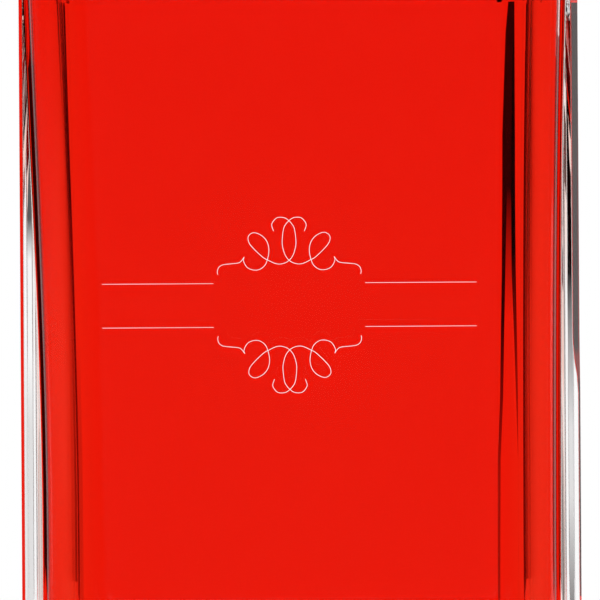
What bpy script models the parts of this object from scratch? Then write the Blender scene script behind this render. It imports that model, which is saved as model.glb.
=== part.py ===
"""A square whiskey decanter of clear glass.

A heavy-based bottle, the whiskey in it, and a solid glass stopper whose ribbed seal grips the neck.
The decanter stands on Z = 0 with its neck on the Z axis, and its engraved face looks towards -Y.
"""

import math

import bmesh
import bpy

mm = 0.001

# Bottle, outside
body_width = 90 * mm
body_corner = 1.2 * mm
wall_height = 134 * mm
lip_rise = 43 * mm
foot_edge = 3 * mm
foot_land = 9 * mm
punt_depth = 1.5 * mm
punt_slope = 4 * mm
punt_corner = 9 * mm
shoulder_round = 14 * mm
shoulder_pitch = math.radians(14)
neck_fillet = 5 * mm
neck_wall = 4.5 * mm
lip_overhang = 4.5 * mm
lip_round = 4 * mm

# Cavity. Its side wall grows from thin at the shoulder to thick near the base
base_thickness = 16 * mm
floor_dish = 1.2 * mm
floor_dish_width = 30 * mm
cavity_corner = 12 * mm
cavity_foot = 8 * mm
wall_at_shoulder = 1 * mm
wall_at_base = 2.7 * mm
wall_growth_height = 96 * mm
shoulder_wall = 2.4 * mm
bore_radius = 12 * mm
bore_edge = 1.5 * mm
bore_flare = 5 * mm

# Whiskey
fill_drop = 2.5 * mm

# Stopper and its seal
piece_gap = 0.3 * mm
seal_wall = 0.8 * mm
seal_rib = 0.7 * mm
seal_rib_height = 1.6 * mm
seal_rib_tip = 0.4 * mm
seal_rib_pitch = 5 * mm
seal_rib_start = 2 * mm
seal_ribs = 3
seal_length = 19 * mm
seal_flange = 1 * mm
seal_flange_margin = 1 * mm
plug_bead = 1 * mm
plug_bead_height = 2 * mm
plug_tip = 1.2 * mm
seat_land = 4.5 * mm
waist_height = 2 * mm
waist_flare = 4.5 * mm
head_width = 38 * mm
head_height = 33 * mm
head_corner = 2.5 * mm
head_bevel = 3 * mm

# How finely round shapes are divided
corner_steps = 10
arc_steps = 5
wall_steps = 8
smooth_angle = math.radians(30)

body_half = body_width / 2
bottle_height = wall_height + lip_rise
neck_radius = bore_radius + neck_wall
neck_root = neck_radius + neck_fillet
lip_radius = neck_radius + lip_overhang
lip_centre = lip_radius - lip_round
fill_level = wall_height - fill_drop

# Heights on the stopper and its seal are counted from the top of the lip, which carries them
seal_outer = bore_radius - piece_gap - seal_rib
seal_inner = seal_outer - seal_wall
seal_bottom = -seal_length
plug_radius = seal_inner - piece_gap
flange_radius = lip_centre - seal_flange_margin
flange_top = piece_gap + seal_flange
seat_height = flange_top + piece_gap


def arc(centre_out, centre_up, across, up, start, end, steps=arc_steps):
    """Points (distance from the axis, height) of an elliptical arc between two angles in degrees."""
    points = []
    for step in range(steps + 1):
        angle = math.radians(start + (end - start) * step / steps)
        points.append((centre_out + across * math.cos(angle), centre_up + up * math.sin(angle)))
    return points


def ring(half, corner, height):
    """A level square outline with round corners. It is a circle where the corner radius is the half width."""
    corner = min(corner, half)
    flat = half - corner
    points = []
    for quarter in range(4):
        turn = math.radians(90 * quarter)
        for step in range(corner_steps):
            angle = math.radians(90 * (step + 0.5) / corner_steps)
            x = flat + corner * math.cos(angle)
            y = flat + corner * math.sin(angle)
            across = x * math.cos(turn) - y * math.sin(turn)
            deep = x * math.sin(turn) + y * math.cos(turn)
            points.append((across, deep, height))
    return points


def circle(radius, height):
    return ring(radius, radius, height)


def square_rings(outlines, corner):
    return [ring(half, corner, height) for half, height in outlines]


def rounding_rings(outlines, widest, corner, round_from):
    """Rings whose corners grow from the given radius at the widest level to full circles near the neck."""
    rings = []
    for half, height in outlines:
        share = min((widest - half) / (widest - round_from), 1)
        rings.append(ring(half, corner + (round_from - corner) * share, height))
    return rings


def loft(name, rings, joined=False):
    """A closed solid through rings of the same count, capped at both ends, or joined end to start."""
    mesh = bpy.data.meshes.new(name)
    shape = bmesh.new()
    loops = []
    for points in rings:
        loops.append([shape.verts.new(point) for point in points])
    pairs = list(zip(loops, loops[1:]))
    if joined:
        pairs.append((loops[-1], loops[0]))
    else:
        shape.faces.new(loops[0])
        shape.faces.new(loops[-1])
    for lower, upper in pairs:
        for index in range(len(lower)):
            after = (index + 1) % len(lower)
            shape.faces.new((lower[index], lower[after], upper[after], upper[index]))
    bmesh.ops.recalc_face_normals(shape, faces=shape.faces)
    shape.to_mesh(mesh)
    shape.free()
    mesh.shade_smooth()
    mesh.set_sharp_from_angle(angle=smooth_angle)
    piece = bpy.data.objects.new(name, mesh)
    bpy.context.scene.collection.objects.link(piece)
    return piece


def finish(piece, colour, roughness, transmission, ior):
    """Gives a piece a material of its own."""
    material = bpy.data.materials.new(piece.name)
    material.use_nodes = True
    shader = material.node_tree.nodes["Principled BSDF"]
    shader.inputs["Base Color"].default_value = (*colour, 1)
    shader.inputs["Roughness"].default_value = roughness
    shader.inputs["Metallic"].default_value = 0
    shader.inputs["Transmission Weight"].default_value = transmission
    shader.inputs["IOR"].default_value = ior
    piece.data.materials.append(material)


def cavity_half(height):
    """Half width inside the side walls. The wall grows down from the shoulder as a quarter sine."""
    depth = min(max(wall_height - height, 0), wall_growth_height)
    growth = math.sin(math.pi / 2 * depth / wall_growth_height)
    wall = wall_at_shoulder + (wall_at_base - wall_at_shoulder) * growth
    return body_half - wall


def cavity_sides(top, offset=0):
    """Outlines (half width, height) from the cavity's floor up to the given height, moved in by offset."""
    foot_top = base_thickness + cavity_foot
    foot_out = cavity_half(foot_top) - cavity_foot
    floor = base_thickness + offset
    outlines = [(floor_dish_width / 2 - offset, floor - floor_dish)]
    across = cavity_foot - offset
    outlines += arc(foot_out, foot_top, across, foot_top - floor, -90, 0)
    for step in range(1, wall_steps + 1):
        height = foot_top + (top - foot_top) * step / wall_steps
        outlines.append((cavity_half(height) - offset, height))
    return outlines


def base_rings():
    """The punt under the base, the flat land that the bottle stands on, and its rounded edge."""
    foot_flat = body_half - foot_edge
    punt_edge = foot_flat - foot_land
    punt = square_rings([(punt_edge - punt_slope, punt_depth), (punt_edge, 0)], punt_corner)
    return punt + square_rings(arc(foot_flat, foot_edge, foot_edge, foot_edge, -90, 0), body_corner)


def shoulder_outline(across, up, neck, fillet):
    """Outlines from the top of the side walls over the round shoulder and its cone to the foot of a neck."""
    turn = math.degrees(math.atan2(up, across * math.tan(shoulder_pitch)))
    outlines = arc(body_half - shoulder_round, wall_height, across, up, 0, turn)
    cone_out, cone_low = outlines[-1]
    fillet_out = neck + fillet
    cone_in = fillet_out - fillet * math.sin(shoulder_pitch)
    cone_top = cone_low + (cone_out - cone_in) * math.tan(shoulder_pitch)
    fillet_up = cone_top + fillet * math.cos(shoulder_pitch)
    return outlines + arc(fillet_out, fillet_up, fillet, fillet, 270 - math.degrees(shoulder_pitch), 180)


def neck_outside():
    """Outlines of the shoulder, the neck and the lip, up to the lip's flat top."""
    outlines = shoulder_outline(shoulder_round, shoulder_round, neck_radius, neck_fillet)
    outlines.append((neck_radius, bottle_height - 2 * lip_round))
    outlines += arc(lip_centre, bottle_height - lip_round, lip_round, lip_round, -90, 90, 2 * arc_steps)
    return outlines


def neck_inside():
    """Outlines inside the neck and shoulder, from the rim of the bore down to the top of the side walls."""
    across = shoulder_round - wall_at_shoulder
    up = shoulder_round - shoulder_wall
    below = shoulder_outline(across, up, bore_radius, bore_flare)
    rim = arc(bore_radius + bore_edge, bottle_height - bore_edge, bore_edge, bore_edge, 90, 180)
    return rim + below[::-1]


def make_bottle():
    """One piece of glass: punt, foot, walls, shoulder, neck and lip outside, then the cavity down to its floor."""
    rings = base_rings()
    rings += rounding_rings(neck_outside(), body_half, body_corner, neck_root)
    flare_edge = bore_radius + bore_flare
    rings += rounding_rings(neck_inside(), cavity_half(wall_height), cavity_corner, flare_edge)
    rings += reversed(square_rings(cavity_sides(wall_height)[:-1], cavity_corner))
    bottle = loft("bottle", rings)
    finish(bottle, (0.95, 0.97, 0.98), 0.02, 1, 1.52)
    return bottle


def make_whiskey():
    """The fill, a small gap in from the glass all round."""
    rings = square_rings(cavity_sides(fill_level, piece_gap), cavity_corner - piece_gap)
    whiskey = loft("whiskey", rings)
    finish(whiskey, (0.83, 0.05, 0.01), 0.0, 1, 1.36)
    return whiskey


def make_seal():
    """A turned sleeve with ribs that grip the bore, and a flange that lies on the lip."""
    outline = [(seal_inner, seal_bottom), (seal_outer, seal_bottom)]
    for index in range(seal_ribs):
        low = seal_bottom + seal_rib_start + index * seal_rib_pitch
        middle = low + seal_rib_height / 2
        outline.append((seal_outer, low))
        outline.append((seal_outer + seal_rib, middle - seal_rib_tip / 2))
        outline.append((seal_outer + seal_rib, middle + seal_rib_tip / 2))
        outline.append((seal_outer, low + seal_rib_height))
    outline += [(seal_outer, piece_gap), (flange_radius, piece_gap)]
    outline += [(flange_radius, flange_top), (seal_inner, flange_top)]
    seal = loft("stopper_seal", [circle(radius, height) for radius, height in outline], joined=True)
    finish(seal, (0.9, 0.92, 0.93), 0.35, 0.6, 1.45)
    return seal


def make_stopper():
    """One piece of solid glass: a plug whose bead keeps the seal on, a round waist and a bevelled block."""
    bead_top = seal_bottom - piece_gap
    bead_bottom = bead_top - plug_bead_height
    plug_end = bead_bottom - plug_tip
    head_half = head_width / 2
    waist = plug_radius + seat_land
    waist_top = seat_height + waist_height
    head_low = waist_top + waist_flare
    head_top = head_low + head_height
    bevel_half = head_half - head_bevel
    rings = [
        circle(plug_radius - plug_tip, plug_end),
        circle(plug_radius, plug_end + plug_tip / 2),
        circle(plug_radius + plug_bead, bead_bottom + plug_bead_height / 4),
        circle(plug_radius + plug_bead, bead_top - plug_bead_height / 4),
        circle(plug_radius, bead_top),
        circle(plug_radius, seat_height),
        circle(waist, seat_height),
        circle(waist, waist_top),
    ]
    for step in range(1, arc_steps + 1):
        share = step / arc_steps
        out = 1 - math.cos(math.pi / 2 * share)
        half = waist + (head_half - waist) * out
        corner = waist + (head_corner - waist) * out
        rings.append(ring(half, corner, waist_top + waist_flare * math.sin(math.pi / 2 * share)))
    rings.append(ring(head_half, head_corner, head_top - head_bevel))
    rings.append(ring(bevel_half, head_corner, head_top))
    stopper = loft("stopper", rings)
    finish(stopper, (0.95, 0.97, 0.98), 0.02, 1, 1.52)
    return stopper


def main():
    for old in list(bpy.data.objects):
        bpy.data.objects.remove(old)
    make_bottle()
    make_whiskey()
    neck_axis = bpy.data.objects.new("neck_axis", None)
    bpy.context.scene.collection.objects.link(neck_axis)
    neck_axis.location = (0, 0, bottle_height)
    for piece in (make_seal(), make_stopper()):
        piece.parent = neck_axis


main()
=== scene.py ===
import math

import bpy
from bpy.props import FloatProperty, FloatVectorProperty, IntProperty, PointerProperty
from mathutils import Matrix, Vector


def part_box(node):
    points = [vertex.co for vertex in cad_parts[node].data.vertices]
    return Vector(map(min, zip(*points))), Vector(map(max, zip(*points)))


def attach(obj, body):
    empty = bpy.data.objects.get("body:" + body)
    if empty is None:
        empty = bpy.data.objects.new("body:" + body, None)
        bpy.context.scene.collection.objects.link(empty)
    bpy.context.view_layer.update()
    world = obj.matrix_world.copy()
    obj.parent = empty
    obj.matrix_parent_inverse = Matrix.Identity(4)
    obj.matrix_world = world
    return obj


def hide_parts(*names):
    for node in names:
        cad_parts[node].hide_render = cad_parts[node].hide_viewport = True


bl_info = {
    "name": "Whiskey decanter",
    "version": (1, 0, 0),
    "blender": (4, 5, 0),
    "location": "3D View > Sidebar > Decanter",
    "description": "Dresses the decanter's frame in clear glass, whiskey, an engraving and a plain studio",
    "category": "Object",
}

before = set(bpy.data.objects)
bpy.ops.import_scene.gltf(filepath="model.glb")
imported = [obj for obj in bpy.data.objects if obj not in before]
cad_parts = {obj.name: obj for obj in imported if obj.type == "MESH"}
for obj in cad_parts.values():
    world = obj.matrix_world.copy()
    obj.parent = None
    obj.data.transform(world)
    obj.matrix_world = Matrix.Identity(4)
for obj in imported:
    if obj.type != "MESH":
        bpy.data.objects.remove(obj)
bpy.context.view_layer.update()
bottle_low, bottle_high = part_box("bottle")
whiskey_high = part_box("whiskey")[1]
seal_low, seal_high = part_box("stopper_seal")
stopper_low, stopper_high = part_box("stopper")

mm = 0.001


def length(name, description, default, low=0):
    return FloatProperty(
        name=name, description=description, default=default, min=low, subtype="DISTANCE", unit="LENGTH")


def tilt(name, description, degrees):
    return FloatProperty(
        name=name, description=description, default=math.radians(degrees), subtype="ANGLE", unit="ROTATION")


def count(name, description, default):
    return IntProperty(name=name, description=description, default=default, min=1)


def amount(name, description, default):
    return FloatProperty(name=name, description=description, default=default)


def colour(name, description, default):
    return FloatVectorProperty(
        name=name, description=description, default=default, subtype="COLOR", size=3, min=0, max=1)


class DecanterGlass(bpy.types.PropertyGroup):
    """The bottle's glass, outside and inside."""
    body_half: length("Body half width", "From the neck's axis to a side face", bottle_high.x - 0.02 * mm)
    corner: length("Upright corner", "Radius of the four upright edges under the shoulder", 1.2 * mm)
    back_bevel: length("Back bevel", "Width of the bevels on the two rear edges", 1.5 * mm)
    left_bevel: length("Left bevel", "Width of the bevel on the front left edge", 0.45 * mm)
    right_bevel: length("Right bevel", "Width of the front right edge's bevel, from the front", 1.1 * mm)
    right_bevel_depth: length("Right bevel depth", "Width of that bevel, seen from the side", 1.9 * mm)
    right_bevel_taper: amount("Right bevel taper", "Share of that bevel's width that is left low down", 0.23)
    taper_height: length("Taper height", "Height at which that bevel has lost half of its width", 70 * mm)
    bevel_edge: length("Bevel edge", "Radius of the bevels' own edges", 0.15 * mm)
    foot_edge: length("Foot edge", "Radius of the edge under the side faces", 3 * mm)
    foot_land: length("Foot land", "Width of the flat band that the bottle stands on", 9 * mm)
    punt_depth: length("Punt depth", "How far the middle of the base is raised", 1.5 * mm)
    punt_slope: length("Punt slope", "Width of the slope up to the punt", 4 * mm)
    punt_corner: length("Punt corner", "Corner radius of the punt's outline", 9 * mm)
    wall_height: length("Wall height", "Where the side faces turn into the shoulder", 134 * mm)
    shoulder_round: length("Shoulder round", "Radius of the shoulder", 14 * mm)
    shoulder_pitch: tilt("Shoulder pitch", "How steeply the shoulder climbs to the neck", 14)
    neck_fillet: length("Neck fillet", "Radius at the foot of the neck", 5 * mm)
    neck_radius: length("Neck radius", "Outer radius of the neck", 16.5 * mm)
    lip_overhang: length("Lip overhang", "How far the lip stands out from the neck", 4.5 * mm)
    lip_round: length("Lip round", "Radius of the lip's edge", 4 * mm)
    bore_radius: length("Bore radius", "Inner radius of the neck", 12 * mm)
    bore_edge: length("Bore edge", "Radius of the bore's rim", 1.5 * mm)
    bore_flare: length("Bore flare", "Radius where the bore opens into the cavity", 5 * mm)
    shoulder_wall: length("Shoulder wall", "Glass thickness of the shoulder", 2.4 * mm)
    cavity_corner: length("Cavity corner", "Radius of the cavity's upright corners", 12 * mm)
    cavity_foot: length("Cavity foot", "Radius between the cavity's sides and its floor", 8 * mm)
    wall_top: length("Wall at the shoulder", "Side wall's thickness under the shoulder", 0.8 * mm)
    wall_low: length("Wall near the base", "Side wall's thickness low down", 2.7 * mm)
    wall_growth: length("Wall growth", "Height over which the side wall grows", 96 * mm)
    base_thickness: length("Base thickness", "Glass under the whiskey", 16 * mm)
    floor_dish: length("Floor dish", "How far the cavity's floor sinks in its middle", 1.2 * mm)
    floor_dish_width: length("Floor dish width", "Width of the sunken middle", 30 * mm)
    waves: length("Waves", "Height of the faint waves on the inner wall", 0.02 * mm)
    drift: length("Cavity drift", "How far the cavity drifts sideways near the shoulder", -0.6 * mm, -10 * mm)
    index: amount("Index", "Refractive index", 1.5)


class DecanterWhiskey(bpy.types.PropertyGroup):
    """The whiskey."""
    overlap: length("Overlap", "How far the whiskey's sides reach into the glass", 0.05 * mm)
    meniscus: length("Meniscus", "How far the surface climbs the glass", 1.4 * mm)
    meniscus_width: length("Meniscus width", "How far in the surface starts to climb", 3 * mm)
    tint: colour("Colour", "Colour of the light that it lets through", (0.98, 0.294, 0.08))
    depth: amount("Absorption", "Absorption per metre for that colour", 80)
    index: amount("Index", "Refractive index", 1.36)


class DecanterStopper(bpy.types.PropertyGroup):
    """The stopper and its seal. Heights count from the top of the lip."""
    gap: length("Gap", "Free space between the stopper, its seal and the neck", 0.3 * mm)
    seal_length: length("Seal length", "How far the seal reaches into the neck", bottle_high.z - seal_low.z)
    seal_inner: length("Seal bore", "Inner radius of the seal", 10.2 * mm)
    seal_outer: length("Seal radius", "Outer radius of the seal between its ribs", 11 * mm)
    seal_rib: length("Rib", "How far a rib stands out", 0.7 * mm)
    seal_rib_height: length("Rib height", "Height of a rib at its root", 1.6 * mm)
    seal_rib_pitch: length("Rib pitch", "From one rib to the next", 5 * mm)
    seal_rib_start: length("First rib", "From the seal's lower end to the first rib", 2 * mm)
    seal_ribs: count("Ribs", "Number of ribs", 3)
    flange_radius: length("Flange radius", "Outer radius of the flange on the lip", seal_high.x)
    flange_top: length("Flange top", "Height of the flange's top", 1.3 * mm)
    plug_radius: length("Plug radius", "Radius of the part inside the seal", 9.9 * mm)
    bead: length("Bead", "How far the bead under the seal stands out", 1 * mm)
    bead_height: length("Bead height", "Height of that bead", 2 * mm)
    seat_height: length("Seat height", "Height of the shoulder that rests on the seal", 1.6 * mm)
    waist: length("Waist", "Radius of the waist above the seal", 14.4 * mm)
    waist_height: length("Waist height", "Height of the waist's straight part", 2 * mm)
    flare: length("Flare", "Height over which the waist opens to the head", 4.5 * mm)
    head_half: length("Head half width", "From the axis to a side of the head", stopper_high.x)
    head_corner: length("Head corner", "Radius of the head's upright edges", 2.5 * mm)
    head_bevel: length("Head bevel", "Width of the bevel round the top", 3 * mm)
    edge: length("Edge", "Radius of the polished edges", 0.5 * mm)


class DecanterEngraving(bpy.types.PropertyGroup):
    """The engraved ornament on the front face."""
    height: length("Height", "Height of the ornament's middle", 80 * mm)
    aside: length("Aside", "From the neck's axis to the ornament's middle", -1.7 * mm, -20 * mm)
    stroke: length("Stroke", "Width of the scrollwork's line", 0.1 * mm)
    rule: length("Rule", "Width of the straight lines", 0.08 * mm)
    depth: length("Depth", "Half of the stroke's depth", 0.018 * mm)


class DecanterStudio(bpy.types.PropertyGroup):
    """The plain studio."""
    distance: length("Camera distance", "From the front face to the camera", 1000 * mm)
    aim_height: length("Aim height", "Height of the middle of the view", 80.8 * mm)
    field: length("Field", "Width of the view at the front face", 96.43 * mm)
    lean: tilt("Lean", "Roll of the camera", 0.37)
    stand_distance: length("Stand distance", "From the bottle's axis back to the dark stand", 195 * mm)
    edge_distance: length("Edge distance", "From the axis back to the shades behind the edges", 46 * mm)
    side_distance: length("Side distance", "From the bottle's axis out to the cards beside it", 130 * mm)


def rounded(corners, steps):
    """Points of an open outline of (out, up, radius) corners, where each corner with a radius is an arc."""
    points = []
    for index, (out, up, radius) in enumerate(corners):
        if radius == 0:
            points.append((out, up))
            continue
        before = corners[index - 1]
        after = corners[index + 1]
        in_x, in_y = out - before[0], up - before[1]
        to_x, to_y = after[0] - out, after[1] - up
        in_length, to_length = math.hypot(in_x, in_y), math.hypot(to_x, to_y)
        in_x, in_y, to_x, to_y = in_x / in_length, in_y / in_length, to_x / to_length, to_y / to_length
        turn = math.atan2(in_x * to_y - in_y * to_x, in_x * to_x + in_y * to_y)
        reach = radius * math.tan(abs(turn) / 2)
        side = math.copysign(1, turn)
        centre_x = out - in_x * reach - in_y * radius * side
        centre_y = up - in_y * reach + in_x * radius * side
        start = math.atan2(up - in_y * reach - centre_y, out - in_x * reach - centre_x)
        for step in range(steps + 1):
            angle = start + turn * step / steps
            points.append((centre_x + radius * math.cos(angle), centre_y + radius * math.sin(angle)))
    return points


def filled(points, spacing):
    """The same outline with extra points on its long straight runs."""
    result = [points[0]]
    for point in points[1:]:
        last = result[-1]
        run = math.hypot(point[0] - last[0], point[1] - last[1])
        parts = max(1, math.ceil(run / spacing))
        for part in range(1, parts + 1):
            share = part / parts
            result.append((last[0] + (point[0] - last[0]) * share, last[1] + (point[1] - last[1]) * share))
    return result


def arc(centre_out, centre_up, across, up, start, end, steps):
    """Points (distance from the axis, height) of an elliptical arc between two angles."""
    points = []
    for step in range(steps + 1):
        angle = start + (end - start) * step / steps
        points.append((centre_out + across * math.cos(angle), centre_up + up * math.sin(angle)))
    return points


def shoulder_outline(glass, across, up, neck, fillet, steps):
    """From the top of the side walls over the round shoulder and its cone to the foot of a neck."""
    pitch = glass.shoulder_pitch
    turn = math.atan2(up, across * math.tan(pitch))
    outline = arc(glass.body_half - glass.shoulder_round, glass.wall_height, across, up, 0, turn, steps)
    cone_out, cone_low = outline[-1]
    fillet_out = neck + fillet
    cone_top = cone_low + (cone_out - fillet_out + fillet * math.sin(pitch)) * math.tan(pitch)
    fillet_up = cone_top + fillet * math.cos(pitch)
    return outline + arc(fillet_out, fillet_up, fillet, fillet, 1.5 * math.pi - pitch, math.pi, steps)


def cavity_half(glass, height):
    """Half width inside the side walls. The wall grows down from the shoulder as a quarter sine."""
    down = min(max(glass.wall_height - height, 0), glass.wall_growth)
    growth = math.sin(math.pi / 2 * down / glass.wall_growth)
    return glass.body_half - glass.wall_top - (glass.wall_low - glass.wall_top) * growth


def corner_at(half, widest, corner, round_from):
    """Corner radius of a level outline: as given at the widest level, and a full circle near the neck."""
    share = min(max((widest - half) / (widest - round_from), 0), 1)
    return corner + (round_from - corner) * share if half > round_from else half


# A row's bevel, the share of its width and the sideways drift, where it has none of them
ROUND = (0, 1, 0)


def eased(value, start, end):
    """0 before the start, 1 past the end, and a smooth step between them."""
    share = min(max((value - start) / (end - start), 0), 1)
    return share * share * (3 - 2 * share)


def bevel_at(glass, height):
    """How much of the upright edges is bevelled, and what share of its width the front right bevel has."""
    foot = eased(height, 0, 2 * glass.foot_edge)
    shoulder = eased(height, glass.wall_height - 2 * mm, glass.wall_height + 5 * mm)
    taper = eased(height, glass.taper_height - 4 * mm, glass.taper_height + 4 * mm)
    return foot * (1 - shoulder), glass.right_bevel_taper + (1 - glass.right_bevel_taper) * taper, 0


def drift_at(glass, height):
    """How far the cavity stands to the side at a height."""
    below = eased(height, glass.wall_height / 3, glass.wall_height)
    return glass.drift * (below - eased(height, glass.wall_height, glass.wall_height + glass.shoulder_round))


def outside_rows(glass):
    """Rows from under the punt over the foot and shoulder to the bore's rim.

    A row is its half width, corner radius, height and bevel.
    """
    foot_flat = glass.body_half - glass.foot_edge
    punt_edge = foot_flat - glass.foot_land
    neck_root = glass.neck_radius + glass.neck_fillet
    lip_out = glass.neck_radius + glass.lip_overhang
    lip_top = bottle_high.z
    lip_low = lip_top - 2 * glass.lip_round
    punt = rounded([
        (0, glass.punt_depth, 0),
        (punt_edge - glass.punt_slope, glass.punt_depth, 6 * mm),
        (punt_edge, 0, 3 * mm),
        (foot_flat, 0, 0),
    ], 6)
    rows = []
    for half, height in filled(punt, 4 * mm)[:-1]:
        share = min(half / punt_edge, 1)
        rows.append((half, glass.punt_corner * share, height, bevel_at(glass, 0)))
    upper = rounded([
        (foot_flat - 1 * mm, 0, 0),
        (glass.body_half, 0, glass.foot_edge),
        (glass.body_half, glass.wall_height, 0),
    ], 16)
    across = glass.shoulder_round
    upper += shoulder_outline(glass, across, across, glass.neck_radius, glass.neck_fillet, 20)[1:]
    upper += rounded([
        (glass.neck_radius, upper[-1][1], 0),
        (glass.neck_radius, lip_low, 0.8 * mm),
        (lip_out, lip_low, glass.lip_round * 0.98),
        (lip_out, lip_top, glass.lip_round * 0.98),
        (glass.bore_radius, lip_top, glass.bore_edge),
        (glass.bore_radius, lip_top - 4 * glass.bore_edge, 0),
    ], 16)[1:]
    for half, height in filled(upper, 3 * mm):
        corner = corner_at(half, glass.body_half, glass.corner, neck_root)
        bevel = bevel_at(glass, height) if half > neck_root else ROUND
        rows.append((half, corner, height, bevel))
    return rows


def inside_rows(glass):
    """Rows down the inside, from the bore to the middle of the cavity's floor."""
    wall_out = cavity_half(glass, glass.wall_height)
    across = glass.shoulder_round - glass.wall_top
    up = glass.shoulder_round - glass.shoulder_wall
    upper = [(glass.bore_radius, bottle_high.z - 5 * glass.bore_edge)]
    upper += reversed(shoulder_outline(glass, across, up, glass.bore_radius, glass.bore_flare, 16))
    outline = filled(upper, 3 * mm)
    foot_top = glass.base_thickness + glass.cavity_foot
    wall_rows = 40
    outline_top = outline[-1][1]
    for row in range(1, wall_rows + 1):
        height = outline_top + (foot_top - outline_top) * row / wall_rows
        outline.append((cavity_half(glass, height), height))
    foot_half = cavity_half(glass, foot_top)
    lower = rounded([
        (foot_half, foot_top + 1 * mm, 0),
        (foot_half, glass.base_thickness, glass.cavity_foot),
        (glass.floor_dish_width / 2, glass.base_thickness, 20 * mm),
        (0, glass.base_thickness - glass.floor_dish, 0),
    ], 16)
    outline += filled(lower[2:], 3 * mm)
    rows = []
    for half, height in outline:
        corner = corner_at(half, wall_out, glass.cavity_corner, glass.bore_radius + glass.bore_flare)
        if height < glass.wall_height:
            corner = min(glass.cavity_corner, half)
        rows.append((half, corner, height, (0, 1, drift_at(glass, height))))
    return rows


def stopper_rows(stopper):
    """Rows of the stopper from the middle of its lower end to the middle of its top."""
    lip = bottle_high.z
    bead_top = -stopper.seal_length - stopper.gap
    bead_low = bead_top - stopper.bead_height
    plug_end = stopper_low.z - lip
    bead_out = stopper.plug_radius + stopper.bead
    waist_top = stopper.seat_height + stopper.waist_height
    head_low = waist_top + stopper.flare
    head_top = stopper_high.z - lip
    bevel_half = stopper.head_half - stopper.head_bevel
    edge = stopper.edge
    plug = rounded([
        (0, plug_end, 0),
        (stopper.plug_radius - 0.6 * mm, plug_end, edge),
        (bead_out, bead_low + stopper.bead_height / 4, edge),
        (bead_out, bead_top - stopper.bead_height / 4, edge / 2),
        (stopper.plug_radius, bead_top, edge / 4),
        (stopper.plug_radius, stopper.seat_height, edge / 2),
        (stopper.waist, stopper.seat_height, edge),
        (stopper.waist, waist_top, 0),
    ], 6)
    rows = [(half, half, height) for half, height in filled(plug, 2.5 * mm)]
    across = stopper.head_half - stopper.waist
    steps = 20
    for step in range(1, steps):
        angle = math.pi / 2 * step / steps
        out = 1 - math.cos(angle)
        half = stopper.waist + across * out
        corner = stopper.waist + (stopper.head_corner - stopper.waist) * out
        rows.append((half, corner, waist_top + stopper.flare * math.sin(angle)))
    head = rounded([
        (stopper.head_half - 2 * edge, head_low, 0),
        (stopper.head_half, head_low, edge),
        (stopper.head_half, head_top - stopper.head_bevel, edge),
        (bevel_half, head_top, edge),
        (0, head_top, 0),
    ], 8)[1:]
    for half, height in filled(head, 3 * mm):
        rows.append((half, stopper.head_corner * min(half / bevel_half, 1), height))
    return [(half, corner, lip + height) for half, corner, height in rows]


def seal_rows(stopper):
    """Rows round the seal's section, from its lower end outside up to the flange and down its bore."""
    low = -stopper.seal_length
    edge = stopper.edge / 4
    flange_low = stopper.gap
    inner, outer, flange = stopper.seal_inner, stopper.seal_outer, stopper.flange_radius
    seam = (inner, low + 1 * mm, 0)
    corners = [seam, (inner, low, edge), (outer, low, edge)]
    half_rib = stopper.seal_rib_height / 2
    for index in range(stopper.seal_ribs):
        middle = low + stopper.seal_rib_start + index * stopper.seal_rib_pitch + half_rib
        corners.append((outer, middle - half_rib, edge))
        corners.append((outer + stopper.seal_rib, middle, 2 * edge))
        corners.append((outer, middle + half_rib, edge))
    corners += [
        (outer, flange_low, 2 * edge),
        (flange, flange_low, 2 * edge),
        (flange, stopper.flange_top, 2 * edge),
        (inner, stopper.flange_top, 2 * edge),
        seam,
    ]
    return [(half, half, bottle_high.z + height) for half, height in filled(rounded(corners, 6), 2 * mm)]


# The ornament's upper left quarter, as (across, up) in mm from its middle. The scroll crosses to the right
SCROLL = [
    (-7.22, 7.77), (-7.36, 7.3), (-7.11, 6.58), (-6.6, 5.97), (-5.68, 5.66), (-4.76, 5.76),
    (-3.94, 6.37), (-3.59, 7.09), (-3.32, 8.12), (-3.26, 9.14), (-3.53, 10.17), (-4.14, 10.99),
    (-4.96, 11.5), (-5.68, 11.66), (-6.29, 11.4), (-6.6, 10.78), (-6.19, 9.66), (-4.35, 7.81),
    (-3.32, 7.2), (-2.3, 6.72), (-1.48, 6.6), (-0.66, 6.79), (0, 7.2), (0.57, 7.91), (0.94, 8.94),
    (1.11, 10.17), (0.88, 12.22), (0.47, 13.04), (0, 13.55), (-0.55, 13.96), (-1.27, 14.12),
    (-1.99, 14), (-2.54, 13.45), (-2.77, 12.83), (-2.48, 11.91),
]
CURL = [
    (-11.46, 4.94), (-11.56, 5.35), (-11.42, 5.97), (-11.01, 6.38), (-10.29, 6.6), (-8.34, 6.79),
    (-7.73, 7.09), (-7.22, 7.77),
]
RULE = [(-30.1, 3.52), (-12.2, 3.52)]


def mesh_object(name, points, edges, faces):
    """A new object in the scene with a mesh of its own."""
    mesh = bpy.data.meshes.new(name)
    mesh.from_pydata(points, edges, faces)
    piece = bpy.data.objects.new(name, mesh)
    bpy.context.scene.collection.objects.link(piece)
    return piece


def strokes_object(name, lines):
    """Bare lines in the upright plane, in metres from the ornament's middle."""
    points, edges = [], []
    for line in lines:
        first = len(points)
        points += [(across * mm, 0, up * mm) for across, up in line]
        edges += [(index, index + 1) for index in range(first, len(points) - 1)]
    return mesh_object(name, points, edges, [])


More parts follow.
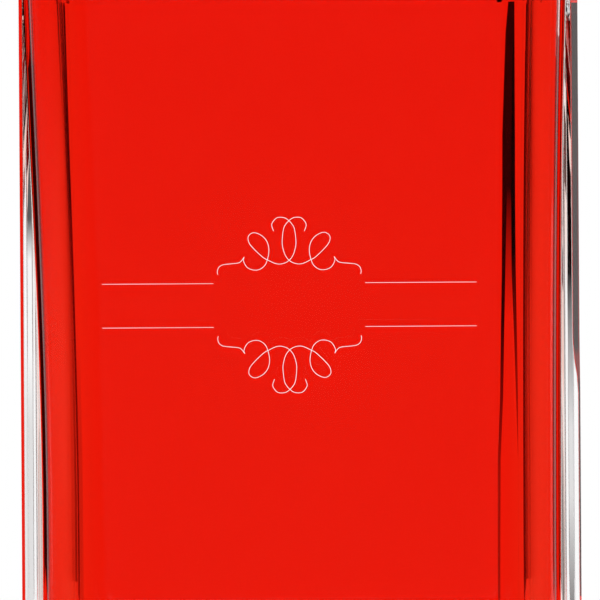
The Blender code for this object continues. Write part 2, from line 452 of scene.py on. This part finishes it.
class Nodes:
    """A node tree under construction."""

    def __init__(self, tree):
        self.tree, self.nodes, self.links = tree, tree.nodes, tree.links

    def feed(self, socket, value):
        """Links a socket, or a node's first output, or sets a plain value."""
        if isinstance(value, bpy.types.Node):
            value = value.outputs[0]
        if isinstance(value, bpy.types.NodeSocket):
            self.links.new(value, socket)
        else:
            socket.default_value = value

    def new(self, kind):
        return self.nodes.new("ShaderNode" + kind)

    def math(self, operation, *values):
        node = self.new("Math")
        node.operation = operation
        for socket, value in zip(node.inputs, values):
            self.feed(socket, value)
        return node.outputs[0]

    def add(self, first, second):
        return self.math("ADD", first, second)

    def less(self, first, second):
        return self.math("SUBTRACT", first, second)

    def times(self, first, second):
        return self.math("MULTIPLY", first, second)

    def over(self, first, second):
        return self.math("DIVIDE", first, second)

    def times_add(self, first, second, third):
        return self.math("MULTIPLY_ADD", first, second, third)

    def within_one(self, value):
        return self.math("MINIMUM", self.math("MAXIMUM", value, 0), 1)


class Tree(Nodes):
    """A Geometry Nodes tree under construction."""

    def __init__(self, name):
        super().__init__(bpy.data.node_groups.new(name, "GeometryNodeTree"))
        self.tree.interface.new_socket("Geometry", in_out="OUTPUT", socket_type="NodeSocketGeometry")
        self.start = self.nodes.new("NodeGroupInput")
        self.end = self.nodes.new("NodeGroupOutput")

    def input(self, name, kind, default=None):
        socket = self.tree.interface.new_socket(name, in_out="INPUT", socket_type="NodeSocket" + kind)
        if default is not None:
            socket.default_value = default
        return self.start.outputs[name]

    def node(self, kind, settings=None, **inputs):
        node = self.nodes.new(kind if kind.startswith("Shader") else "GeometryNode" + kind)
        for key, value in (settings or {}).items():
            setattr(node, key, value)
        for key, value in inputs.items():
            name = key.replace("_", " ")
            self.feed(next(s for s in node.inputs if s.enabled and s.name == name), value)
        return node

    def parts(self, vector):
        return self.node("ShaderNodeSeparateXYZ", Vector=vector).outputs

    def painted(self, geometry, material):
        """Real, smooth geometry in one material."""
        real = self.node("RealizeInstances", Geometry=geometry)
        smooth = self.node("SetShadeSmooth", Geometry=real)
        return self.node("SetMaterial", Geometry=smooth, Material=material)


class ShaderNodes(Nodes):
    """The nodes of a material or of the world, under construction."""

    def parts(self, coordinates):
        where = self.new("TexCoord")
        parts = self.new("SeparateXYZ")
        self.links.new(where.outputs[coordinates], parts.inputs[0])
        return parts.outputs

    def ramp(self, value, start, end, low=0.0, high=1.0):
        node = self.new("MapRange")
        for socket, given in zip(node.inputs, (value, start, end, low, high)):
            self.feed(socket, given)
        return node.outputs[0]

    def blend(self, share, first, second):
        """A grey between two tones. A tone is a number or what another node puts out."""
        node = self.new("Mix")
        node.data_type = "RGBA"
        self.feed(node.inputs[0], share)
        for socket, tone in zip(node.inputs[6:8], (first, second)):
            self.feed(socket, tone if isinstance(tone, bpy.types.NodeSocket) else (tone, tone, tone, 1))
        return node.outputs[2]


def loft_tree():
    """Skins a column of rounded squares.

    Each point of the incoming outline is one of them: its half width, corner radius and height.
    """
    tree = Tree("Rounded square loft")
    outline = tree.input("Outline", "Geometry")
    corner_steps = tree.input("Corner Steps", "Int", 24)
    flat_steps = tree.input("Flat Steps", "Int", 14)
    bevel_edge = tree.input("Bevel Edge", "Float", 0.0001)
    back_bevel = tree.input("Back Bevel", "Float", 0.0)
    left_bevel = tree.input("Left Bevel", "Float", 0.0)
    right_bevel = tree.input("Right Bevel", "Vector")
    waves = tree.input("Waves", "Float", 0.0)
    waves_from = tree.input("Waves From Row", "Int", 0)
    material = tree.input("Material", "Material")
    second = tree.input("Second Material", "Material")
    second_from = tree.input("Second From Row", "Int", 0)

    rows = tree.node("AttributeDomainSize", Geometry=outline).outputs["Point Count"]
    per_quarter = tree.add(corner_steps, flat_steps)
    columns = tree.add(tree.times(per_quarter, 4), 1)
    grid = tree.node("MeshGrid", Vertices_X=columns, Vertices_Y=rows)
    index = tree.node("InputIndex")
    column = tree.math("FLOOR", tree.over(tree.add(index, 0.5), rows))
    row = tree.less(index, tree.times(column, rows))
    quarter = tree.math("FLOOR", tree.over(tree.add(column, 0.5), per_quarter))
    step = tree.less(column, tree.times(quarter, per_quarter))

    position = tree.node("InputPosition")
    vector = {"data_type": "FLOAT_VECTOR"}
    here = tree.node("SampleIndex", vector, Geometry=outline, Value=position, Index=row)
    half, corner, height = tree.parts(here)
    bevel = tree.node("InputNamedAttribute", vector, Name="bevel").outputs["Attribute"]
    kept = tree.node("SampleIndex", vector, Geometry=outline, Value=bevel, Index=row)
    bevelled, taper, drift = tree.parts(kept)

    # The corner turns from step 1 to the last but one. Its two end steps stay on the flat faces, close by
    turned_steps = tree.less(corner_steps, 2)
    share = tree.within_one(tree.over(tree.less(step, 1), turned_steps))
    is_first = tree.math("LESS_THAN", step, 0.5)
    is_last = tree.math("GREATER_THAN", step, tree.less(corner_steps, 0.5))
    flat = tree.less(half, corner)
    guard = tree.math("MINIMUM", tree.times(flat, 0.25), 0.00005)
    angle = tree.times(share, math.pi / 2)
    round_x = tree.times_add(corner, tree.math("COSINE", angle), flat)
    round_y = tree.times_add(corner, tree.math("SINE", angle), flat)

    # A bevelled corner is a fillet, a flat and a second fillet, of unlike widths on the front right edge
    is_left = tree.math("COMPARE", quarter, 2, 0.1)
    is_right = tree.math("COMPARE", quarter, 3, 0.1)
    is_back = tree.less(tree.less(1, is_left), is_right)
    right_x, right_y = tree.parts(right_bevel)[:2]
    shared = tree.times_add(back_bevel, is_back, tree.times(left_bevel, is_left))
    right = tree.times(is_right, taper)
    first_width = tree.times_add(right_x, right, shared)
    second_width = tree.times_add(right_y, right, shared)
    facing = tree.math("ARCTAN2", second_width, first_width)
    first_turn = tree.math("MINIMUM", tree.times(share, 4), 1)
    second_turn = tree.math("MAXIMUM", tree.times_add(share, 4, -3), 0)
    along = tree.within_one(tree.times_add(share, 2, -0.5))
    rest = tree.less(math.pi / 2, facing)
    bevel_angle = tree.times_add(facing, first_turn, tree.times(rest, second_turn))
    centre = tree.less(half, bevel_edge)
    bevel_x = tree.times_add(bevel_edge, tree.math("COSINE", bevel_angle), centre)
    bevel_x = tree.less(bevel_x, tree.times(second_width, along))
    bevel_y = tree.times_add(bevel_edge, tree.math("SINE", bevel_angle), centre)
    bevel_y = tree.less(bevel_y, tree.times(first_width, tree.less(1, along)))

    across = tree.times_add(bevelled, tree.less(bevel_x, round_x), round_x)
    across = tree.less(across, tree.times(is_last, guard))
    deep = tree.times_add(bevelled, tree.less(bevel_y, round_y), round_y)
    deep = tree.less(deep, tree.times(is_first, guard))
    past = tree.math("MAXIMUM", tree.less(step, corner_steps), 0)
    swept = tree.math("COSINE", tree.times(tree.over(past, flat_steps), math.pi))
    across = tree.times(across, swept)
    turn = tree.times(quarter, math.pi / 2)
    point = tree.node("ShaderNodeCombineXYZ", X=across, Y=deep, Z=height)
    round_axis = {"rotation_type": "Z_AXIS"}
    turned = tree.node("ShaderNodeVectorRotate", round_axis, Vector=point, Angle=turn)
    aside = tree.node("ShaderNodeCombineXYZ", X=drift)

    row_kept = tree.node("CaptureAttribute", {"domain": "POINT"})
    row_kept.capture_items.new("FLOAT", "Row")
    tree.feed(row_kept.inputs["Geometry"], grid)
    tree.feed(row_kept.inputs["Row"], row)
    numbered = row_kept.outputs["Geometry"]
    placed = tree.node("SetPosition", Geometry=numbered, Position=turned, Offset=aside)
    closed = tree.node("MergeByDistance", Geometry=placed, Distance=1e-6)

    noise = tree.node("ShaderNodeTexNoise", Vector=position, Scale=38.0, Detail=2.0)
    swing = tree.times(tree.less(noise, 0.5), waves)
    waving = tree.math("GREATER_THAN", row_kept.outputs["Row"], waves_from)
    normal = tree.node("InputNormal")
    scaled = {"operation": "SCALE"}
    shift = tree.node("ShaderNodeVectorMath", scaled, Vector=normal, Scale=tree.times(swing, waving))
    waved = tree.node("SetPosition", Geometry=closed, Offset=shift)

    painted = tree.painted(waved, material)
    chosen = tree.math("GREATER_THAN", row_kept.outputs["Row"], second_from)
    again = tree.node("SetMaterial", Geometry=painted, Selection=chosen, Material=second)
    tree.feed(tree.end.inputs[0], again)
    return tree.tree


def stroke_tree():
    """Draws flattened strokes along smooth curves through the lines, and mirrors them both ways."""
    tree = Tree("Mirrored strokes")
    lines = tree.input("Lines", "Geometry")
    width = tree.input("Width", "Float", 0.1 * mm)
    depth = tree.input("Depth", "Float", 0.018 * mm)
    middle = tree.input("Middle", "Vector")
    material = tree.input("Material", "Material")
    curve = tree.node("MeshToCurve", Mesh=lines)
    smooth = tree.node("CurveSplineType", {"spline_type": "CATMULL_ROM"}, Curve=curve)
    spacing = 0.1 * mm
    even = tree.node("ResampleCurve", {"mode": "LENGTH"}, Curve=smooth, Length=spacing)
    radius = tree.times(width, 0.5)
    section = tree.node("CurvePrimitiveCircle", Resolution=8, Radius=radius)
    tube = tree.node("CurveToMesh", Curve=even, Profile_Curve=section, Fill_Caps=True)
    flatness = tree.node("ShaderNodeCombineXYZ", X=1.0, Y=tree.over(depth, radius), Z=1.0)
    part = tree.node("Transform", Geometry=tube, Scale=flatness)
    for scale in ((-1, 1, 1), (1, 1, -1)):
        mirrored = tree.node("Transform", Geometry=part, Scale=scale)
        turned = tree.node("FlipFaces", Mesh=mirrored)
        both = tree.node("JoinGeometry")
        tree.feed(both.inputs[0], part)
        tree.feed(both.inputs[0], turned)
        part = both
    placed = tree.node("Transform", Geometry=part, Translation=middle)
    tree.feed(tree.end.inputs[0], tree.painted(placed, material))
    return tree.tree


def outline_object(name, rows):
    """A bare line of points, one for each row of a loft, with the row's bevel and drift kept beside it."""
    edges = [(index, index + 1) for index in range(len(rows) - 1)]
    piece = mesh_object(name, [row[:3] for row in rows], edges, [])
    bevels = piece.data.attributes.new("bevel", "FLOAT_VECTOR", "POINT")
    for index, row in enumerate(rows):
        bevels.data[index].vector = row[3] if len(row) > 3 else ROUND
    return piece


def through_nodes(piece, tree, values):
    """Runs a piece through a Geometry Nodes tree and leaves it as a plain mesh."""
    modifier = piece.modifiers.new(tree.name, "NODES")
    modifier.node_group = tree
    sockets = {item.name: item.identifier for item in tree.interface.items_tree if item.in_out == "INPUT"}
    for name, value in values.items():
        modifier[sockets[name]] = value
    evaluated = piece.evaluated_get(bpy.context.evaluated_depsgraph_get())
    mesh = bpy.data.meshes.new_from_object(evaluated)
    piece.modifiers.clear()
    old = piece.data
    piece.data = mesh
    bpy.data.meshes.remove(old)
    mesh.name = piece.name
    for index in reversed(range(len(mesh.materials))):
        if mesh.materials[index] is None:
            mesh.materials.pop(index=index)


def shader_group(name, inputs, outputs):
    """An empty shader node group with its sockets, and its two end nodes."""
    group = bpy.data.node_groups.new(name, "ShaderNodeTree")
    for key, kind, value in inputs:
        socket = group.interface.new_socket(key, in_out="INPUT", socket_type="NodeSocket" + kind)
        if value is not None:
            socket.default_value = value
    for key, kind in outputs:
        group.interface.new_socket(key, in_out="OUTPUT", socket_type="NodeSocket" + kind)
    return group, group.nodes.new("NodeGroupInput"), group.nodes.new("NodeGroupOutput")


def set_inputs(node, values):
    for key, value in values.items():
        node.inputs[key].default_value = value


def handled_surface():
    """The marks of polishing and handling: a slow ripple as a normal, and a mask of faint smudges."""
    name = "Handled surface"
    if name in bpy.data.node_groups:
        return bpy.data.node_groups[name]
    group, start, end = shader_group(name, (
        ("Vector", "Vector", None),
        ("Ripple Size", "Float", 0.02),
        ("Ripple Height", "Float", 0.00001),
        ("Smudge Size", "Float", 0.03),
    ), (("Normal", "Vector"), ("Smudges", "Float")))
    make = ShaderNodes(group)
    noises = []
    for key, detail in (("Ripple Size", 1.0), ("Smudge Size", 6.0)):
        noise = make.new("TexNoise")
        noise.inputs["Detail"].default_value = detail
        make.feed(noise.inputs["Vector"], start.outputs["Vector"])
        make.feed(noise.inputs["Scale"], make.over(1, start.outputs[key]))
        noises.append(noise.outputs["Fac"])
    bump = make.new("Bump")
    make.feed(bump.inputs["Strength"], 1)
    make.feed(bump.inputs["Height"], noises[0])
    make.feed(bump.inputs["Distance"], start.outputs["Ripple Height"])
    make.feed(end.inputs["Normal"], bump.outputs[0])
    mask = make.ramp(noises[1], 0.5, 0.75)
    mask.node.interpolation_type = "SMOOTHSTEP"
    make.feed(end.inputs["Smudges"], mask)
    return group


def surface_material(name, ripple_size, ripple_height, smudge_size, roughness, smudged, looks):
    """A material whose roughness and normal come from the handled surface at Object coordinates."""
    material = bpy.data.materials.new(name)
    material.use_nodes = True
    make = ShaderNodes(material.node_tree)
    shader = make.nodes["Principled BSDF"]
    where = make.new("TexCoord")
    marks = make.new("Group")
    marks.node_tree = handled_surface()
    sizes = {"Ripple Size": ripple_size, "Ripple Height": ripple_height, "Smudge Size": smudge_size}
    set_inputs(marks, sizes)
    set_inputs(shader, looks)
    make.feed(marks.inputs["Vector"], where.outputs["Object"])
    make.feed(shader.inputs["Normal"], marks.outputs["Normal"])
    make.feed(shader.inputs["Roughness"], make.ramp(marks.outputs["Smudges"], 0, 1, roughness, smudged))
    return material


def glass_material(name, index):
    """Clear glass or liquid. Where they touch, the glass has the ratio of their indices, and the liquid 1."""
    looks = {"Base Color": (1, 1, 1, 1), "Transmission Weight": 1, "IOR": index}
    return surface_material(name, 20 * mm, 0.004 * mm, 30 * mm, 0, 0.01, looks)


def seal_material():
    looks = {"Base Color": (0.9, 0.92, 0.93, 1), "Transmission Weight": 0.6, "IOR": 1.45}
    return surface_material("silicone_seal", 3 * mm, 0.02 * mm, 6 * mm, 0.3, 0.45, looks)


def frosted_material():
    looks = {"Base Color": (0.95, 0.93, 0.92, 1)}
    return surface_material("frosted_engraving", 0.2 * mm, 0.01 * mm, 0.6 * mm, 0.6, 0.9, looks)


# The bottle and the whiskey meet, so both are skinned with the same steps round a quarter
FINE_STEPS = {"Corner Steps": 26, "Flat Steps": 14}


def add_whiskey_volume(material, whiskey):
    make = ShaderNodes(material.node_tree)
    volume = make.new("VolumeAbsorption")
    set_inputs(volume, {"Color": (*whiskey.tint, 1), "Density": whiskey.depth})
    make.feed(make.nodes["Material Output"].inputs["Volume"], volume)


class DECANTER_OT_bottle(bpy.types.Operator):
    """Builds the bottle's glass"""
    bl_idname = "decanter.bottle"
    bl_label = "Bottle"

    def execute(self, context):
        glass = context.scene.decanter_glass
        outside = outside_rows(glass)
        inside = inside_rows(glass)
        rows = outside + inside
        wetted = glass.index / context.scene.decanter_whiskey.index
        fill = whiskey_high.z + 0.5 * mm
        wet_from = next(i for i, row in enumerate(rows) if i >= len(outside) and row[2] < fill)
        bottle = outline_object("decanter_bottle", rows)
        through_nodes(bottle, loft_tree(), {
            **FINE_STEPS,
            "Bevel Edge": glass.bevel_edge,
            "Back Bevel": glass.back_bevel,
            "Left Bevel": glass.left_bevel,
            "Right Bevel": (glass.right_bevel, glass.right_bevel_depth, 0),
            "Waves": glass.waves,
            "Waves From Row": len(outside),
            "Material": glass_material("polished_glass", glass.index),
            "Second Material": glass_material("wetted_glass", wetted),
            "Second From Row": wet_from,
        })
        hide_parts("bottle")
        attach(bottle, "bottle")
        return {"FINISHED"}


class DECANTER_OT_whiskey(bpy.types.Operator):
    """Builds the whiskey"""
    bl_idname = "decanter.whiskey"
    bl_label = "Whiskey"

    def execute(self, context):
        glass = context.scene.decanter_glass
        whiskey = context.scene.decanter_whiskey
        fill = whiskey_high.z
        sides = [row for row in inside_rows(glass) if row[2] < fill + whiskey.meniscus]
        over = whiskey.overlap
        half, corner, _, level = sides[0]
        flat_half = half - whiskey.meniscus_width
        flat_corner = max(corner - whiskey.meniscus_width, 1 * mm)
        surface = [(flat_half * share / 8, flat_corner * share / 8, fill, level) for share in range(8)]
        steps = 10
        for step in range(steps + 1):
            share = step / steps
            inset = whiskey.meniscus_width * (1 - share)
            climb = whiskey.meniscus * share ** 3
            surface.append((half - inset, max(corner - inset, 1 * mm), fill + climb, level))
        rows = list(surface)
        for wall_half, wall_corner, height, kept in sides:
            if wall_half > 0:
                rows.append((wall_half + over, wall_corner + over, height, kept))
        rows.append((0, 0, sides[-1][2] - over, level))
        rows.reverse()
        piece = outline_object("decanter_whiskey", rows)
        body = glass_material("whiskey_body", 1)
        top = glass_material("whiskey_surface", whiskey.index)
        add_whiskey_volume(body, whiskey)
        add_whiskey_volume(top, whiskey)
        through_nodes(piece, loft_tree(), {
            **FINE_STEPS,
            "Waves": glass.waves,
            "Waves From Row": 0,
            "Material": body,
            "Second Material": top,
            "Second From Row": len(rows) - len(surface),
        })
        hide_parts("whiskey")
        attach(piece, "bottle")
        return {"FINISHED"}


class DECANTER_OT_stopper(bpy.types.Operator):
    """Builds the stopper and its seal"""
    bl_idname = "decanter.stopper"
    bl_label = "Stopper and seal"

    def execute(self, context):
        stopper = context.scene.decanter_stopper
        tree = loft_tree()
        glass = glass_material("cut_glass", context.scene.decanter_glass.index)
        piece = outline_object("decanter_stopper", stopper_rows(stopper))
        through_nodes(piece, tree, {"Flat Steps": 8, "Material": glass, "Second Material": glass})
        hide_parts("stopper")
        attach(piece, "stopper")
        plastic = seal_material()
        piece = outline_object("decanter_seal", seal_rows(stopper))
        through_nodes(piece, tree, {"Material": plastic, "Second Material": plastic})
        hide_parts("stopper_seal")
        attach(piece, "seal")
        return {"FINISHED"}


class DECANTER_OT_engraving(bpy.types.Operator):
    """Builds the engraved ornament"""
    bl_idname = "decanter.engraving"
    bl_label = "Engraving"

    def execute(self, context):
        engraving = context.scene.decanter_engraving
        front = -context.scene.decanter_glass.body_half
        middle = (engraving.aside, front, engraving.height)
        tree = stroke_tree()
        frosted = frosted_material()
        for name, lines, width in (
            ("decanter_scrolls", (SCROLL, CURL), engraving.stroke),
            ("decanter_rules", (RULE,), engraving.rule),
        ):
            piece = strokes_object(name, lines)
            values = {"Width": width, "Depth": engraving.depth, "Middle": middle, "Material": frosted}
            through_nodes(piece, tree, values)
            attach(piece, "bottle")
        return {"FINISHED"}


class DECANTER_OT_stage(bpy.types.Operator):
    """Builds the floor, the light and the camera"""
    bl_idname = "decanter.stage"
    bl_label = "Studio"

    def execute(self, context):
        studio = context.scene.decanter_studio
        make_camera(context, studio)
        make_world(context)
        make_floor()
        make_cards(studio)
        context.scene.view_settings.view_transform = "Standard"
        cycles = context.scene.cycles
        cycles.max_bounces = 32
        cycles.transmission_bounces = 32
        cycles.glossy_bounces = 16
        cycles.transparent_max_bounces = 16
        cycles.use_denoising = True
        return {"FINISHED"}


def make_camera(context, studio):
    data = bpy.data.cameras.new("camera")
    data.sensor_width = 36
    data.lens = data.sensor_width * studio.distance / studio.field
    camera = bpy.data.objects.new("camera", data)
    context.scene.collection.objects.link(camera)
    camera.location = (0, bottle_low.y - studio.distance, studio.aim_height)
    camera.rotation_euler = (math.radians(90), studio.lean, 0)
    context.scene.camera = camera


# A dark stand with an opening, seen through the right of the bottle. Each row is its height over the middle
# of the view, its left edge, the opening's edges and its right edge, in mm
STAND = [
    (64, 64, 66, 66, 68), (50, 57, 64, 64, 71), (30, 54.5, 62.5, 62.5, 75), (22, 55, 62, 68, 76),
    (4, 55, 60, 70, 79), (-20, 53, 57, 80, 85.5), (-32, 50, 53.5, 85.5, 86), (-81, 49, 51, 85.5, 86),
]
# Tones of the stage. All are neutral, and none is brighter than white
BLACK, DARK, DIM, GREY, PALE, WHITE = 0, 0.11, 0.22, 0.4, 0.77, 1


def stand_part(rows, left, right, depth, level):
    """The corners of the part of the stand between two of its rows' columns."""
    return [[(row[side] * mm, depth, level + row[0] * mm) for side in (left, right)] for row in rows]


def upright(x, depth, low, high):
    """The corners of an oblong card between two x or two depth values."""
    return [[(x[0], depth[0], height), (x[1], depth[1], height)] for height in (low, high)]


def make_cards(studio):
    """White, grey and black cards round the bottle that only show through its glass."""
    near, level = studio.stand_distance, studio.aim_height
    left_edge = stand_part(STAND, 1, 2, near, level)
    right_edge = stand_part(STAND, 3, 4, near, level)
    card("stand_left", left_edge, GREY, BLACK, (level - 35 * mm, level - 5 * mm))
    card("stand_right", right_edge, GREY, BLACK, (level - 25 * mm, level + 8 * mm))
    opening = stand_part(STAND[2:], 2, 3, near, level)
    card("stand_opening", opening, WHITE, BLACK, (level - 5 * mm, level + 20 * mm))

    upper = (level + 35 * mm, level + 75 * mm)
    card("white_back_right", upright((92 * mm, 300 * mm), (near, near), *upper), WHITE)
    card("white_back_left", upright((-300 * mm, -112 * mm), (near, near), 0, 200 * mm), WHITE)

    behind, edge = studio.edge_distance, 44.6 * mm
    card("left_screen", upright((-49.5 * mm, -41.2 * mm), (60 * mm, 60 * mm), 0, bottle_high.z), WHITE)
    left_glow = upright((-edge, -43 * mm), (behind, behind), 0, level)
    card("left_glow", left_glow, PALE, WHITE, (level - 25 * mm, level - 5 * mm))
    left_shade = upright((-200 * mm, -edge), (behind, behind), 0, bottle_high.z)
    card("left_shade", left_shade, DIM)
    right_shade = upright((edge, 105 * mm), (behind, behind), 0, level + 42 * mm)
    card("right_shade", right_shade, DIM)

    side = studio.side_distance
    depth = (28 * mm, 62 * mm)
    blend = (level - 25 * mm, level + 5 * mm)
    card("left_wall", upright((-side, -side), depth, 0, 180 * mm), PALE, BLACK, blend)
    inner = (2 * mm - side, 2 * mm - side)
    blend = (level - 60 * mm, level - 38 * mm)
    card("left_sill", upright(inner, depth, 0, level - 38 * mm), DIM, PALE, blend)
    blend = (level + 8 * mm, level + 16 * mm)
    card("right_wall", upright((side, side), depth, level + 8 * mm, 180 * mm), WHITE, DARK, blend)
    sill = upright((side, side), depth, 0, level + 8 * mm)
    card("right_sill", sill, PALE, WHITE, (level - 25 * mm, level - 10 * mm))


def stage_object(name, corners, faces):
    """A mesh object of the stage and the nodes of its own material."""
    piece = mesh_object(name, corners, [], faces)
    material = bpy.data.materials.new(name)
    material.use_nodes = True
    piece.data.materials.append(material)
    return piece, ShaderNodes(material.node_tree)


def card(name, rows, tone, upper=None, fade=(0, 1)):
    """An upright card made of rows of two corners.

    Its tone gives way to the upper one between the two fade heights.
    """
    corners = [corner for row in rows for corner in row]
    faces = [(2 * row, 2 * row + 1, 2 * row + 3, 2 * row + 2) for row in range(len(rows) - 1)]
    piece, make = stage_object(name, corners, faces)
    make.nodes.remove(make.nodes["Principled BSDF"])
    glow = make.new("Emission")
    make.feed(make.nodes["Material Output"].inputs["Surface"], glow)
    share = make.ramp(make.parts("Object")["Z"], *fade)
    make.feed(glow.inputs["Color"], make.blend(share, tone, tone if upper is None else upper))
    piece.visible_camera = False
    piece.visible_diffuse = False
    piece.visible_glossy = False
    piece.visible_shadow = False


def make_world(context):
    """A pale room with dark corners and sides that only the glass shows.

    Gloss mirrors upright strips of light and a soft ceiling. The camera and all other light get plain white.
    """
    near_black, side_tone, corner_tone, unlit, ceiling_tone = 0.02, 0.1, 0.65, 0.01, 0.5
    tiny = 0.0001
    world = bpy.data.worlds.new("studio")
    world.use_nodes = True
    make = ShaderNodes(world.node_tree)
    where = make.parts("Generated")
    across = make.math("ABSOLUTE", where["X"])
    deep = make.math("ABSOLUTE", where["Y"])
    up = where["Z"]
    steep = make.math("ABSOLUTE", up)
    level = make.times_add(across, across, make.times(deep, deep))
    diagonal = make.over(make.times(across, deep), make.math("MAXIMUM", level, tiny))
    # The corners are nearly black near the horizon, pale over and under it, and white high up
    tone = make.blend(make.ramp(steep, 0.06, 0.14), near_black, corner_tone)
    tone = make.blend(make.ramp(up, 0.35, 0.45), tone, WHITE)
    through = make.blend(make.ramp(diagonal, 0.375, 0.385), WHITE, tone)
    # The sides are dark near the horizon
    sideways = make.ramp(make.over(deep, make.math("MAXIMUM", across, tiny)), 0.4, 0.5, 1, 0)
    beside = make.times(make.ramp(steep, 0.05, 0.09, 1, 0), sideways)
    through = make.blend(beside, through, side_tone)

    slope = make.over(across, make.math("MAXIMUM", deep, tiny))
    strip = make.times(make.ramp(slope, 1.28, 1.34), make.ramp(slope, 1.9, 1.96, 1, 0))
    strip = make.times(strip, make.ramp(up, 0.7, 0.9, 1, 0))
    ceiling = make.ramp(up, 0.8, 0.95, 0, ceiling_tone)
    seen_in_gloss = make.blend(make.math("MAXIMUM", strip, ceiling), unlit, WHITE)
    path = make.new("LightPath")
    mirrored = make.blend(path.outputs["Is Glossy Ray"], WHITE, seen_in_gloss)
    shown = make.blend(path.outputs["Is Transmission Ray"], mirrored, through)
    make.feed(make.nodes["Background"].inputs["Color"], shown)
    context.scene.world = world


def make_floor():
    half, tone = 0.6, 0.97
    corners = [(-half, -half, 0), (half, -half, 0), (half, half, 0), (-half, half, 0)]
    floor, make = stage_object("floor", corners, [(0, 1, 2, 3)])
    looks = {"Base Color": (tone, tone, tone, 1), "Roughness": 0.9, "Specular IOR Level": 0}
    set_inputs(make.nodes["Principled BSDF"], looks)


OPERATORS = (
    DECANTER_OT_bottle, DECANTER_OT_whiskey, DECANTER_OT_stopper, DECANTER_OT_engraving, DECANTER_OT_stage,
)
GROUPS = {
    "decanter_glass": DecanterGlass,
    "decanter_whiskey": DecanterWhiskey,
    "decanter_stopper": DecanterStopper,
    "decanter_engraving": DecanterEngraving,
    "decanter_studio": DecanterStudio,
}


class DECANTER_PT_panel(bpy.types.Panel):
    """Lists the decanter's operators"""
    bl_label = "Whiskey decanter"
    bl_space_type = "VIEW_3D"
    bl_region_type = "UI"
    bl_category = "Decanter"

    def draw(self, context):
        for operator in OPERATORS:
            self.layout.operator(operator.bl_idname)


def register():
    for name, group in GROUPS.items():
        bpy.utils.register_class(group)
        setattr(bpy.types.Scene, name, PointerProperty(type=group))
    for operator in OPERATORS:
        bpy.utils.register_class(operator)
    bpy.utils.register_class(DECANTER_PT_panel)


def unregister():
    bpy.utils.unregister_class(DECANTER_PT_panel)
    for operator in reversed(OPERATORS):
        bpy.utils.unregister_class(operator)
    for name, group in GROUPS.items():
        delattr(bpy.types.Scene, name)
        bpy.utils.unregister_class(group)


def main():
    register()
    bpy.ops.decanter.bottle()
    bpy.ops.decanter.whiskey()
    bpy.ops.decanter.stopper()
    bpy.ops.decanter.engraving()
    bpy.ops.decanter.stage()


if __name__ == "__main__":
    main()
